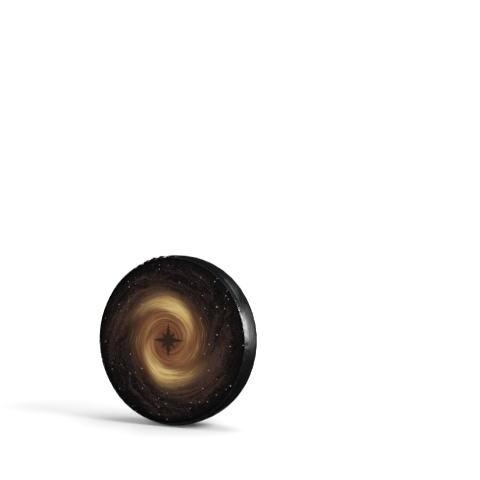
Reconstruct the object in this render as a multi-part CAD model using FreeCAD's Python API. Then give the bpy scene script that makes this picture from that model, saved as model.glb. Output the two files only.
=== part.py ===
"""Soft cover for a narrow spare tyre of 29 to 31 inches, in its fitted shape, as a set of sewn and
threaded pieces. Units are millimetres.

Frame: the origin is the centre of the tyre seat, on the wheel's axis. +Y runs along that axis from
the printed front panel to the open back, and +Z is up, so the band join is at the bottom (-Z).

From the front: a printed round panel, a piped seam, a black band round the tread, a lapped seam
with two rows of stitching, a gathered skirt over the back sidewall, and a hem casing that holds a
shock cord. The skirt, its tape, the hem and the cord are one group ("mouth") and the rest is the other ("shell").
The sewn layers stand 0.05 mm apart. The lap between the two groups has 0.3 mm.
"""

import FreeCAD
import Part
import math
import os

V = FreeCAD.Vector

# ---- driving dimensions -------------------------------------------------------------------------
TYRE_D = 762.0  # 30 inch spare tyre of the narrow kind, about 165 mm wide
EASE = 0.5  # room between tread and band
SEAT_R = TYRE_D / 2 + EASE  # inner radius of the band
BAND_T = 1.2  # coated fabric of the band
PANEL_T = 1.0  # printed polyester
SKIRT_T = 1.0
GAP = 0.05  # between sewn layers
LAP_GAP = 0.3  # between band and skirt, which part company when the cover is folded flat

FRONT_Y = -82.0  # outer face of the front panel
PANEL_FLAT_R = 334.0  # the panel is flat to here, then rolls back over the tyre's shoulder
PANEL_ROLL_R = 75.0
PANEL_ROLL_DEG = 30.0

BAND_Y0, BAND_Y1 = -47.0, 34.0  # the cylinder of the band, which is the tyre seat
FRONT_SHOULDER_R = 49.3
FRONT_EDGE_Y = -71.6
REAR_SHOULDER_R = 53.4
REAR_EDGE_Y = 58.0

SEAM_END_Y = -62.5  # inner end of the front seam allowance
PIPE_R, PIPE_WALL = 2.6, 0.8  # welt piping
PIPE_AT = (373.85, -74.6)

LAP_Y = 46.0  # front edge of the skirt, under the band
SKIRT_BEND_R = 43.0
SKIRT_EDGE_R = 281.0  # inner edge of the skirt, between the lips of the casing

MOUTH_R = 262.0  # inner edge of the hem, which is the opening at the back
HEM_OUT_R = 279.9
LIP_R = 290.0
HEM_Y0, HEM_Y1 = 76.4, 84.6
HEM_WALL = 0.9
HEM_CORNER = 1.2

CORD_R = 2.5  # 5 mm shock cord
CORD_RING_R = 266.6
CORD_Y = 80.5
CORD_LAP = 5.6  # the lapped end lies this far outside the other

THREAD_R = 0.35
OUT = "parts"

# ---- helpers ------------------------------------------------------------------------------------


def point(p):
    return V(p[0], p[1], 0.0)


def on_arc(centre, radius, deg):
    a = math.radians(deg)
    return (centre[0] + radius * math.cos(a), centre[1] + radius * math.sin(a))


def arc(centre, radius, a0, a1):
    """An arc of the section, as (start, middle, end)."""
    return tuple(on_arc(centre, radius, a) for a in (a0, (a0 + a1) / 2, a1))


def section(*items):
    """A closed face in the (r, y) half plane. An item is a point, or an arc of three points."""
    edges, at, first = [], None, None
    for item in items:
        start = item[0] if isinstance(item[0], tuple) else item
        if at is None:
            first = start
        elif math.dist(at, start) > 1e-6:
            edges.append(Part.LineSegment(point(at), point(start)).toShape())
        if isinstance(item[0], tuple):
            edges.append(Part.Arc(*[point(p) for p in item]).toShape())
            at = item[2]
        else:
            at = item
    if math.dist(at, first) > 1e-6:
        edges.append(Part.LineSegment(point(at), point(first)).toShape())
    return Part.Face(Part.Wire(edges))


def turned(face, deg=360.0, middle=None):
    """The section turned about the wheel axis. With middle, a segment centred on that angle, which
    is measured from +X towards +Z."""
    if middle is None:
        return face.revolve(V(0, 0, 0), V(0, 1, 0), 360.0)
    placed = face.copy()
    # a right-handed turn about +Y carries +X towards -Z
    placed.rotate(V(0, 0, 0), V(0, 1, 0), -(middle - deg / 2))
    return placed.revolve(V(0, 0, 0), V(0, 1, 0), -deg)


def thread_ring(r, y, radius=THREAD_R):
    return Part.makeTorus(r, radius, V(0, y, 0), V(0, 1, 0))


def save(name, *solids):
    for s in solids:
        if not s.isValid() or s.Volume <= 0:
            raise SystemExit(f"{name}: a solid isn't valid")
    shape = solids[0] if len(solids) == 1 else Part.makeCompound(list(solids))
    shape.exportStep(os.path.join(OUT, name + ".step"))
    b = shape.BoundBox
    print(f"{name:24s} {len(solids)} solid(s)  {b.XLength:7.1f} {b.YLength:7.1f} {b.ZLength:7.1f}  {sum(s.Volume for s in solids) / 1000:8.1f} cm3")


os.makedirs(OUT, exist_ok=True)

# ---- sections shared by several pieces ----------------------------------------------------------
band_r = SEAT_R + BAND_T
fs_c = (band_r - FRONT_SHOULDER_R, BAND_Y0)  # centre of the band's front shoulder
rs_c = (band_r - REAR_SHOULDER_R, BAND_Y1)  # centre of its rear shoulder


def front_deg(radius, y):
    return math.degrees(math.asin((y - fs_c[1]) / radius))


def rear_deg(radius, y):
    return math.degrees(math.asin((y - rs_c[1]) / radius))


front_out = FRONT_SHOULDER_R
front_in = FRONT_SHOULDER_R - BAND_T
rear_out = REAR_SHOULDER_R
rear_in = REAR_SHOULDER_R - BAND_T
rear_end = rear_deg(rear_out, REAR_EDGE_Y)

# Front seam: three turned-in layers side by side, from the axis outwards
panel_flange = (372.3, 373.3)
sleeve_flange = (panel_flange[1] + GAP, panel_flange[1] + GAP + 1.0)
band_flange = (sleeve_flange[1] + GAP, sleeve_flange[1] + GAP + 0.9)

# ---- shell: front panel -------------------------------------------------------------------------
roll_c = (PANEL_FLAT_R, FRONT_Y + PANEL_ROLL_R)
a_end = -90.0 + PANEL_ROLL_DEG
panel_outer_end = on_arc(roll_c, PANEL_ROLL_R, a_end)
panel_inner_end = on_arc(roll_c, PANEL_ROLL_R - PANEL_T, a_end)
front_panel = turned(
    section(
        (0.0, FRONT_Y + PANEL_T),
        (0.0, FRONT_Y),
        arc(roll_c, PANEL_ROLL_R, -90.0, a_end),
        (panel_flange[1], panel_outer_end[1]),
        (panel_flange[1], SEAM_END_Y),
        (panel_flange[0], SEAM_END_Y),
        (panel_flange[0], panel_inner_end[1] + 0.1),
        arc(roll_c, PANEL_ROLL_R - PANEL_T, a_end, -90.0),
    )
)
save("front_panel", front_panel)

# ---- shell: piping ------------------------------------------------------------------------------
# The sleeve's section has 16 flats, as the cloth lies in small facets round the core.
ring_out = [on_arc(PIPE_AT, PIPE_R, 22.5 * i + 11.25) for i in range(16)]
ring_in = [on_arc(PIPE_AT, PIPE_R - PIPE_WALL, 22.5 * i + 11.25) for i in range(16)]
flange = section(
    (sleeve_flange[0], PIPE_AT[1]),
    (sleeve_flange[1], PIPE_AT[1]),
    (sleeve_flange[1], SEAM_END_Y),
    (sleeve_flange[0], SEAM_END_Y),
)
sleeve = section(*ring_out).fuse(flange).removeSplitter().cut(section(*ring_in))
save("piping_sleeve", turned(sleeve.Faces[0]))
save("piping_core", Part.makeTorus(PIPE_AT[0], (PIPE_R - PIPE_WALL) * math.cos(math.pi / 16) - GAP, V(0, PIPE_AT[1], 0), V(0, 1, 0)))

# ---- shell: binding and thread of the front seam ------------------------------------------------
b0, b1 = panel_flange[0] - GAP, band_flange[1] + GAP
bind_y = SEAM_END_Y - 6.0
binding = section(
    (b0, bind_y),
    (b0, SEAM_END_Y + GAP),
    (b1, SEAM_END_Y + GAP),
    (b1, bind_y),
    (b1 + 0.55, bind_y),
    (b1 + 0.55, SEAM_END_Y + 0.65),
    (b0 - 0.6, SEAM_END_Y + 0.65),
    (b0 - 0.6, bind_y),
)
save("front_seam_binding", turned(binding))
save(
    "front_seam_stitching",
    thread_ring(b0 - 0.6 - THREAD_R - GAP, SEAM_END_Y - 3.0),
    thread_ring(b1 + 0.55 + THREAD_R + GAP, SEAM_END_Y - 3.0),
)

# ---- shell: side band ---------------------------------------------------------------------------
a_out = front_deg(front_out, FRONT_EDGE_Y)
a_in = -math.degrees(math.acos((band_flange[1] - fs_c[0]) / front_in))
side_band = turned(
    section(
        (band_flange[0], SEAM_END_Y),
        (band_flange[0], FRONT_EDGE_Y),
        arc(fs_c, front_out, a_out, 0.0),
        arc(rs_c, rear_out, 0.0, rear_end),
        arc(rs_c, rear_in, rear_end, 0.0),
        arc(fs_c, front_in, 0.0, a_in),
        (band_flange[1], SEAM_END_Y),
    )
)
save("side_band", side_band)

# The band's two ends meet at the bottom over an inner tape, with a row of stitches each side
BOTTOM = -90.0
t0, t1 = front_in - GAP, front_in - GAP - 0.6
r0, r1 = rear_in - GAP, rear_in - GAP - 0.6
tape = section(
    arc(fs_c, t0, front_deg(t0, BAND_Y0 - 11.0), 0.0),
    arc(rs_c, r0, 0.0, rear_deg(r0, LAP_Y - 3.0)),
    arc(rs_c, r1, rear_deg(r1, LAP_Y - 3.0), 0.0),
    arc(fs_c, t1, 0.0, front_deg(t1, BAND_Y0 - 11.0)),
)
save("band_join_tape", turned(tape, 3.0, BOTTOM))
s0, s1 = front_out + GAP, front_out + GAP + 0.6
q0, q1 = rear_out + GAP, rear_out + GAP + 0.6
row = section(
    arc(fs_c, s1, front_deg(s1, FRONT_EDGE_Y + 3.6), 0.0),
    arc(rs_c, q1, 0.0, rear_deg(q1, LAP_Y)),
    arc(rs_c, q0, rear_deg(q0, LAP_Y), 0.0),
    arc(fs_c, s0, 0.0, front_deg(s0, FRONT_EDGE_Y + 3.6)),
)
save(
    "band_join_stitching",
    turned(row, 0.1, BOTTOM - 0.45),
    turned(row, 0.1, BOTTOM + 0.45),
)

# Two rows of stitches through the lap, seen on the band
rings = []
for y in (LAP_Y + 2.5, LAP_Y + 8.5):
    p = on_arc(rs_c, rear_out + THREAD_R + 0.15, rear_deg(rear_out, y))
    rings.append(thread_ring(p[0], p[1]))
save("rear_seam_stitching", *rings)

# ---- mouth: rear skirt --------------------------------------------------------------------------
lap_out = rear_out - BAND_T - LAP_GAP
lap_in = lap_out - SKIRT_T
bend_start = on_arc(rs_c, lap_out, rear_end)
bend_c = (
    bend_start[0] - SKIRT_BEND_R * math.cos(math.radians(rear_end)),
    bend_start[1] - SKIRT_BEND_R * math.sin(math.radians(rear_end)),
)
skirt_y = bend_c[1] + SKIRT_BEND_R  # outer face of the skirt on the sidewall
rear_skirt = turned(
    section(
        arc(rs_c, lap_out, rear_deg(lap_out, LAP_Y), rear_end),
        arc(bend_c, SKIRT_BEND_R, rear_end, 90.0),
        (SKIRT_EDGE_R, skirt_y),
        (SKIRT_EDGE_R, skirt_y - SKIRT_T),
        arc(bend_c, SKIRT_BEND_R - SKIRT_T, 90.0, rear_end),
        arc(rs_c, lap_in, rear_end, rear_deg(lap_in, LAP_Y)),
    )
)
save("rear_skirt", rear_skirt)

u0, u1 = lap_in - GAP, lap_in - GAP - 0.5
v0, v1 = SKIRT_BEND_R - SKIRT_T - GAP, SKIRT_BEND_R - SKIRT_T - GAP - 0.5
seam_tape = section(
    arc(rs_c, u0, rear_deg(u0, LAP_Y + 1.0), rear_end),
    arc(bend_c, v0, rear_end, 38.0),
    arc(bend_c, v1, 38.0, rear_end),
    arc(rs_c, u1, rear_end, rear_deg(u1, LAP_Y + 1.0)),
)
save("rear_seam_tape", turned(seam_tape))

# ---- mouth: hem casing --------------------------------------------------------------------------
lip_a, lip_b = skirt_y - SKIRT_T - GAP, skirt_y + GAP  # the faces that pinch the skirt's edge
hollow_r0, hollow_r1 = MOUTH_R + HEM_WALL + 0.1, HEM_OUT_R - HEM_WALL
c = HEM_CORNER
casing = section(
    (LIP_R, lip_b + HEM_WALL),
    (HEM_OUT_R, lip_b + HEM_WALL),
    (HEM_OUT_R, HEM_Y1),
    arc((MOUTH_R + c, HEM_Y1 - c), c, 90.0, 180.0),
    arc((MOUTH_R + c, HEM_Y0 + c), c, 180.0, 270.0),
    (HEM_OUT_R, HEM_Y0),
    (HEM_OUT_R, lip_a - HEM_WALL),
    (LIP_R, lip_a - HEM_WALL),
    (LIP_R, lip_a),
    (hollow_r1, lip_a),
    (hollow_r1, HEM_Y0 + HEM_WALL),
    (hollow_r0, HEM_Y0 + HEM_WALL),
    (hollow_r0, HEM_Y1 - HEM_WALL),
    (hollow_r1, HEM_Y1 - HEM_WALL),
    (hollow_r1, lip_b),
    (LIP_R, lip_b),
)
save("hem_casing", turned(casing))
save(
    "hem_stitching",
    thread_ring(285.0, lip_b + HEM_WALL + THREAD_R + GAP),
    thread_ring(285.0, lip_a - HEM_WALL - THREAD_R - GAP),
)

# ---- mouth: shock cord and its crimp ------------------------------------------------------------
# One length of cord. It runs round at CORD_RING_R and then eases outwards, so that its end lies
# beside its start, where the crimp holds both.
START, LEAVES, END = 2.0, 300.0, 372.0
turn = END - LEAVES
shift = CORD_LAP / (1 - math.cos(math.radians(turn - 2.0)))


def cord_arc(centre, radius, a0, a1):
    """A round bar along an arc in the plane y = CORD_Y, from a0 to a1, from +X towards +Z."""
    disc = Part.Face(Part.Wire(Part.makeCircle(CORD_R, V(radius, CORD_Y, 0), V(0, 0, 1))))
    disc.rotate(V(0, 0, 0), V(0, 1, 0), -a0)
    bar = disc.revolve(V(0, 0, 0), V(0, 1, 0), -(a1 - a0))
    bar.translate(V(centre[0], 0, centre[1]))
    return bar


u = (math.cos(math.radians(LEAVES)), math.sin(math.radians(LEAVES)))
main_run = cord_arc((0, 0), CORD_RING_R, START, LEAVES)
last_run = cord_arc((-shift * u[0], -shift * u[1]), CORD_RING_R + shift, LEAVES, LEAVES + turn * 0.985)
cord = main_run.fuse(last_run).removeSplitter()
save("elastic_cord", cord.Solids[0])

h0, h1 = CORD_RING_R - CORD_R - 0.1, CORD_RING_R + CORD_LAP + CORD_R + 0.25
crimp = section(
    (h0 - 0.5, CORD_Y - CORD_R - 0.55),
    (h1 + 0.5, CORD_Y - CORD_R - 0.55),
    (h1 + 0.5, CORD_Y + CORD_R + 0.55),
    (h0 - 0.5, CORD_Y + CORD_R + 0.55),
).cut(
    section(
        (h0, CORD_Y - CORD_R - GAP),
        (h1, CORD_Y - CORD_R - GAP),
        (h1, CORD_Y + CORD_R + GAP),
        (h0, CORD_Y + CORD_R + GAP),
    )
)
save("elastic_crimp", turned(crimp.Faces[0], 2.4, 6.5))

# ---- mouth: join of the skirt's two ends, at the bottom -----------------------------------------
rods = []
for x in (-3.0, 3.0):
    rods.append(
        Part.makeCylinder(THREAD_R, 44.0, V(x, skirt_y + THREAD_R + GAP, -292.0), V(0, 0, -1))
    )
save("skirt_join_stitching", *rods)
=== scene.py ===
import math

import bpy
import numpy as np
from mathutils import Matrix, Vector


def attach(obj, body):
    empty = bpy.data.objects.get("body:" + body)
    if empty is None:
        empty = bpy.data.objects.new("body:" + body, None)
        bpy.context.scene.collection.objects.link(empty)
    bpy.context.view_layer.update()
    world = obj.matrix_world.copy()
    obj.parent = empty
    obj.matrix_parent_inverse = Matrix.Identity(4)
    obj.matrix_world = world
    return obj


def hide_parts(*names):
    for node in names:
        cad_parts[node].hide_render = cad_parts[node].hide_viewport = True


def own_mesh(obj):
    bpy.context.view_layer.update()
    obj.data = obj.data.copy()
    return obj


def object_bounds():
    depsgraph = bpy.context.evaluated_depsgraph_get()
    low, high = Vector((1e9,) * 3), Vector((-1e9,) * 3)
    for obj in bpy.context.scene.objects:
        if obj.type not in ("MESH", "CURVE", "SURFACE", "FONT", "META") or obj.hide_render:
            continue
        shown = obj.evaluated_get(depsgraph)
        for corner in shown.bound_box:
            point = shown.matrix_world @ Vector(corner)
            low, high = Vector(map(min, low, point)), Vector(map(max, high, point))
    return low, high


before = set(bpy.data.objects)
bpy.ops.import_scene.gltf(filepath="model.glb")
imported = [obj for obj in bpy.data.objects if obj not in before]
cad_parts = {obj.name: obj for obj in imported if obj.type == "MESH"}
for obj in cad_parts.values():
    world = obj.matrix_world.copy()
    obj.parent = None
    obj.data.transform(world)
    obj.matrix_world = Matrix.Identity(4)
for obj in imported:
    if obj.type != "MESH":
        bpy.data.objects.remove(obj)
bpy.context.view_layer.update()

TAU = 2.0 * math.pi
MM = 0.001

# ---- dimensions, in metres, as in part.py -------------------------------------------------------
FRONT_Y = -0.082
PANEL_FLAT_R, PANEL_ROLL_R = 0.334, 0.075
SEAM_END_Y = -0.0625
PIPE_AT, PIPE_R = (0.37385, -0.0746), 0.0026
BAND_R, BAND_T = 0.3827, 0.0012
FS_R, FS_C = 0.0493, (0.3334, -0.047)
RS_R, RS_C = 0.0534, (0.3293, 0.034)
FRONT_EDGE_Y, REAR_EDGE_Y, LAP_Y = -0.0716, 0.058, 0.046
BEND_C, BEND_R = (0.33725, 0.038), 0.043
SKIRT_Y = 0.081
HEM_Y0, HEM_Y1, MOUTH_R, LIP_R = 0.0764, 0.0846, 0.262, 0.290
REAR_END = math.asin((REAR_EDGE_Y - RS_C[1]) / RS_R)
JOIN = -math.pi / 2  # the band's and the skirt's joins are at the bottom
TOP_LEFT = math.radians(101)


# ---- camera -------------------------------------------------------------------------------------
def make_camera():
    cam = bpy.data.cameras.new("camera")
    cam.lens, cam.sensor_width = 54.43, 36.0
    ob = bpy.data.objects.new("camera", cam)
    bpy.context.scene.collection.objects.link(ob)
    ob.location = (1.6321, -2.9704, 0.2698)
    # heading from +Y towards +X, then pitch above the horizon
    heading, pitch = math.radians(-23.845), math.radians(3.196)
    ob.rotation_euler = (math.pi / 2 + pitch, 0.0, -heading)
    bpy.context.scene.camera = ob


make_camera()


# ---- the cloth's own unevenness, as one smooth field --------------------------------------------
def ripple(th, lo, hi, seed):
    """Smooth noise round the rim, from whole-number waves lo to hi, with a spread of about 1."""
    rng = np.random.default_rng(seed)
    out, power = np.zeros_like(th), 0.0
    for n in range(lo, hi + 1):
        a, p = rng.normal(), rng.uniform(0, TAU)
        out = out + a * np.cos(n * th + p)
        power += 0.5 * a * a
    return out / math.sqrt(power)


def near(th, centre, width):
    d = (th - centre + math.pi) % TAU - math.pi
    return np.exp(-((d / width) ** 2))


def ease(x, a, b):
    t = np.clip((x - a) / (b - a), 0.0, 1.0)
    return t * t * (3 - 2 * t)


def field(r, y, th):
    """How far the cloth at (r, y, th) lies from its plain shape, as (outwards, along the axis). Every
    sewn layer follows it, so layers stay beside each other."""
    slack = 0.35 + 0.65 * near(th, TOP_LEFT, 0.42)
    # the piped rim
    rim_r = 0.45 * MM * ripple(th, 3, 9, 1) + 0.20 * MM * ripple(th, 40, 90, 2)
    rim_r = rim_r + 2.3 * MM * near(th, TOP_LEFT, 0.34) * ripple(th, 50, 78, 3)
    rim_y = 0.6 * MM * ripple(th, 3, 12, 4) + 0.45 * MM * slack * ripple(th, 45, 85, 5)
    d_rim = np.hypot(r - PIPE_AT[0], y - PIPE_AT[1])
    w_rim = np.exp(-((d_rim / (17 * MM)) ** 2))
    out_r, out_y = rim_r * w_rim, rim_y * w_rim
    # puckers that run in from the rim over the face
    inward = np.clip(PIPE_AT[0] - r, 0, 1)
    face = ease(-y, 0.058, 0.066)
    pucker = np.exp(-inward / (26 * MM)) * (1 - np.exp(-inward / (7 * MM)))
    out_y = out_y - face * pucker * slack * 2.0 * MM * (0.35 + ripple(th, 34, 62, 6))
    long_fold = np.exp(-inward / (85 * MM)) * ease(inward, 0, 20 * MM)
    out_y = out_y - face * long_fold * 0.55 * MM * ripple(th, 9, 26, 7)
    # slow waves over the face, where nothing backs the cloth in the wheel's middle
    x, z = r * np.cos(th), r * np.sin(th)
    calm = 1 - ease(r, 0.30, 0.37)
    waves = (
        np.sin(11 * x + 7 * z + 0.6)
        + np.sin(-6 * x + 13 * z + 2.1)
        + 0.6 * np.sin(21 * x - 9 * z + 4.0)
    )
    out_y = out_y + face * calm * (0.55 * MM * waves + 1.2 * MM * np.cos(np.minimum(r / 0.34, 1) * math.pi / 2))
    # the band over the tread
    wall = ease(r, 0.362, 0.376) * (1 - face)
    d_front, d_back = y - FRONT_EDGE_Y, REAR_EDGE_Y - y
    from_front = np.exp(-np.clip(d_front, 0, 1) / (20 * MM)) * ease(d_front, 0, 8 * MM)
    from_back = np.exp(-np.clip(d_back, 0, 1) / (17 * MM)) * ease(d_back + 4 * MM, 0, 12 * MM)
    out_r = out_r + wall * from_front * (0.22 + 0.5 * near(th, TOP_LEFT, 0.7)) * MM * ripple(th, 38, 70, 8)
    scallop = near(th, TOP_LEFT, 0.34) * ripple(th, 50, 78, 3)
    out_r = out_r + wall * np.exp(-np.clip(d_front, 0, 1) / (38 * MM)) * ease(d_back, 0, 60 * MM) * 2.2 * MM * scallop
    out_r = out_r + wall * from_back * 0.80 * MM * ripple(th, 36, 66, 9)
    middle = ease(d_front, 10 * MM, 40 * MM) * ease(d_back, 10 * MM, 40 * MM)
    drag = ripple(th + y * 3.0, 14, 30, 10) + 0.7 * ripple(th - y * 4.0, 18, 34, 11)
    out_r = out_r + wall * middle * 0.16 * MM * drag
    # tension lines that run round the band
    for k, amp, seed in ((52.0, 0.12, 12), (93.0, 0.07, 13), (151.0, 0.04, 14)):
        out_r = out_r + wall * middle * amp * MM * np.sin(k * y * TAU / 1.0 + 1.8 * ripple(th, 2, 7, seed))
    # the tread beneath is slightly crowned
    crown = 3.4 * MM * np.cos(np.clip((y + 0.0068) / 0.0648, -1, 1) * math.pi / 2) - 0.9 * MM
    out_r = out_r + wall * crown * ease(d_front, 0, 14 * MM) * ease(d_back, 0, 14 * MM)
    # and its shoulder rounds over just behind the piping
    out_r = out_r + wall * 1.7 * MM * (1 - np.exp(-np.clip(d_front, 0, 1) / (8 * MM))) * ease(d_back, 0, 40 * MM)
    return out_r, out_y


# ---- meshes -------------------------------------------------------------------------------------
def add_mesh(name, co, quads=None, tris=None, index=None, materials=(), smooth=True):
    """quads and tris are (n, 4) and (n, 3) arrays; index gives each face's material, quads first."""
    me = bpy.data.meshes.new(name)
    quads = np.zeros((0, 4), np.int32) if quads is None else np.asarray(quads, np.int32)
    tris = np.zeros((0, 3), np.int32) if tris is None else np.asarray(tris, np.int32)
    loops = np.concatenate([quads.ravel(), tris.ravel()])
    n = len(quads) + len(tris)
    starts = np.concatenate([np.arange(len(quads)) * 4, len(quads) * 4 + np.arange(len(tris)) * 3])
    # outward faces: the signed volume is positive
    v = np.asarray(co, float)
    t = np.concatenate([quads[:, [0, 1, 2]], quads[:, [0, 2, 3]], tris])
    volume = np.einsum("ij,ij->i", v[t[:, 0]], np.cross(v[t[:, 1]], v[t[:, 2]])).sum()
    if volume < 0:
        loops = np.concatenate([quads[:, ::-1].ravel(), tris[:, ::-1].ravel()])
    me.vertices.add(len(v))
    me.vertices.foreach_set("co", v.astype(np.float32).ravel())
    me.loops.add(len(loops))
    me.loops.foreach_set("vertex_index", loops.astype(np.int32))
    me.polygons.add(n)
    me.polygons.foreach_set("loop_start", starts.astype(np.int32))
    if index is not None:
        me.polygons.foreach_set("material_index", np.asarray(index, np.int32))
    me.update(calc_edges=True)
    me.validate()
    me.polygons.foreach_set("use_smooth", np.full(n, smooth))
    ob = bpy.data.objects.new(name, me)
    bpy.context.scene.collection.objects.link(ob)
    for m in materials:
        me.materials.append(m)
    return ob


def place(r, y, th, shift=True):
    if shift:
        dr, dy = field(r, y, th)
        r, y = r + dr, y + dy
    return np.stack([r * np.cos(th), y + 0 * th, r * np.sin(th)], -1)


def loop_quads(rows, cols, base=0, rows_closed=True, cols_closed=True):
    i = np.arange(rows if rows_closed else rows - 1)[:, None]
    j = np.arange(cols if cols_closed else cols - 1)[None, :]
    a = i * cols + j
    b = i * cols + (j + 1) % cols
    c = ((i + 1) % rows) * cols + (j + 1) % cols
    d = ((i + 1) % rows) * cols + j
    return np.stack([a, b, c, d], -1).reshape(-1, 4) + base


def turned(name, loops, th, materials, row_material=None):
    """A closed ring. loops are closed sections of (r, y) points; a second one is the hollow inside."""
    co, quads, index, base = [], [], [], 0
    for k, sec in enumerate(loops):
        sec = np.asarray(sec, float)
        p = place(sec[:, :1], sec[:, 1:], th[None, :])
        q = loop_quads(len(sec), len(th), base)
        if k:
            q = q[:, ::-1]
        co.append(p.reshape(-1, 3))
        quads.append(q)
        rows = np.zeros(len(sec), int) if row_material is None or k else np.asarray(row_material)
        index.append(np.repeat(rows, len(th)))
        base += p.shape[0] * p.shape[1]
    return add_mesh(name, np.concatenate(co), np.concatenate(quads), index=np.concatenate(index), materials=materials)


def arc(centre, radius, a0, a1, n):
    a = np.linspace(a0, a1, n)
    return np.stack([centre[0] + radius * np.cos(a), centre[1] + radius * np.sin(a)], 1)


def line(p, q, n):
    return np.linspace(p, q, n)


def around(n):
    return np.arange(n) * TAU / n


def stitches(name, centres, along, normal, length, radius, material):
    """Separate stitches: each is a short arch of thread whose two ends dive into the cloth."""
    sides, rings = 6, 7
    s = np.linspace(-1, 1, rings)
    fat = radius * np.array([0.55, 0.9, 1.0, 1.0, 1.0, 0.9, 0.55])
    lift = radius * (0.75 - 1.9 * np.abs(s) ** 3)
    a = np.arange(sides) * TAU / sides
    side = np.cross(normal, along)
    co = (
        centres[:, None, None, :]
        + along[:, None, None, :] * (s * length / 2)[None, :, None, None]
        + normal[:, None, None, :] * (lift[None, :, None, None] + (fat[:, None] * np.sin(a))[None, :, :, None])
        + side[:, None, None, :] * (fat[:, None] * np.cos(a))[None, :, :, None]
    )
    k, per = len(centres), sides * rings
    i, j = np.arange(rings - 1)[:, None], np.arange(sides)[None, :]
    q = np.stack([i * sides + j, i * sides + (j + 1) % sides, (i + 1) * sides + (j + 1) % sides, (i + 1) * sides + j], -1).reshape(-1, 4)
    caps = []
    for start, flip in ((0, True), ((rings - 1) * sides, False)):
        for m in range(1, sides - 1):
            f = [start, start + m, start + m + 1]
            caps.append(f[::-1] if flip else f)
    caps = np.array(caps)
    off = (np.arange(k) * per)[:, None, None]
    return add_mesh(name, co.reshape(-1, 3), (q[None] + off).reshape(-1, 4), (caps[None] + off).reshape(-1, 3), materials=[material])


def ring_stitches(r, y, nr, ny, pitch, jitter=0.06, seed=0, shift=True):
    """Centres, directions and normals of stitches round a ring. (nr, ny) is the cloth's normal."""
    rng = np.random.default_rng(seed)
    n = int(round(TAU * r / pitch))
    th = (np.arange(n) + rng.uniform(-jitter, jitter, n)) * TAU / n
    c = place(np.full(n, r), np.full(n, y), th, shift)
    t = np.stack([-np.sin(th), 0 * th, np.cos(th)], -1)
    lean = rng.normal(0, 0.05, n)
    m = np.stack([nr * np.cos(th), 0 * th + ny, nr * np.sin(th)], -1)
    t = t + np.cross(m, t) * lean[:, None]
    t /= np.linalg.norm(t, axis=1)[:, None]
    return c, t, m


# ---- node graphs --------------------------------------------------------------------------------
class Sock:
    """A number or colour in a node graph, with arithmetic."""

    def __init__(self, g, s):
        self.g, self.s = g, s

    def __add__(self, o): return self.g.m("ADD", self, o)
    def __radd__(self, o): return self.g.m("ADD", o, self)
    def __sub__(self, o): return self.g.m("SUBTRACT", self, o)
    def __rsub__(self, o): return self.g.m("SUBTRACT", o, self)
    def __mul__(self, o): return self.g.m("MULTIPLY", self, o)
    def __rmul__(self, o): return self.g.m("MULTIPLY", o, self)
    def __truediv__(self, o): return self.g.m("DIVIDE", self, o)
    def __neg__(self): return self.g.m("MULTIPLY", self, -1.0)


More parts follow.
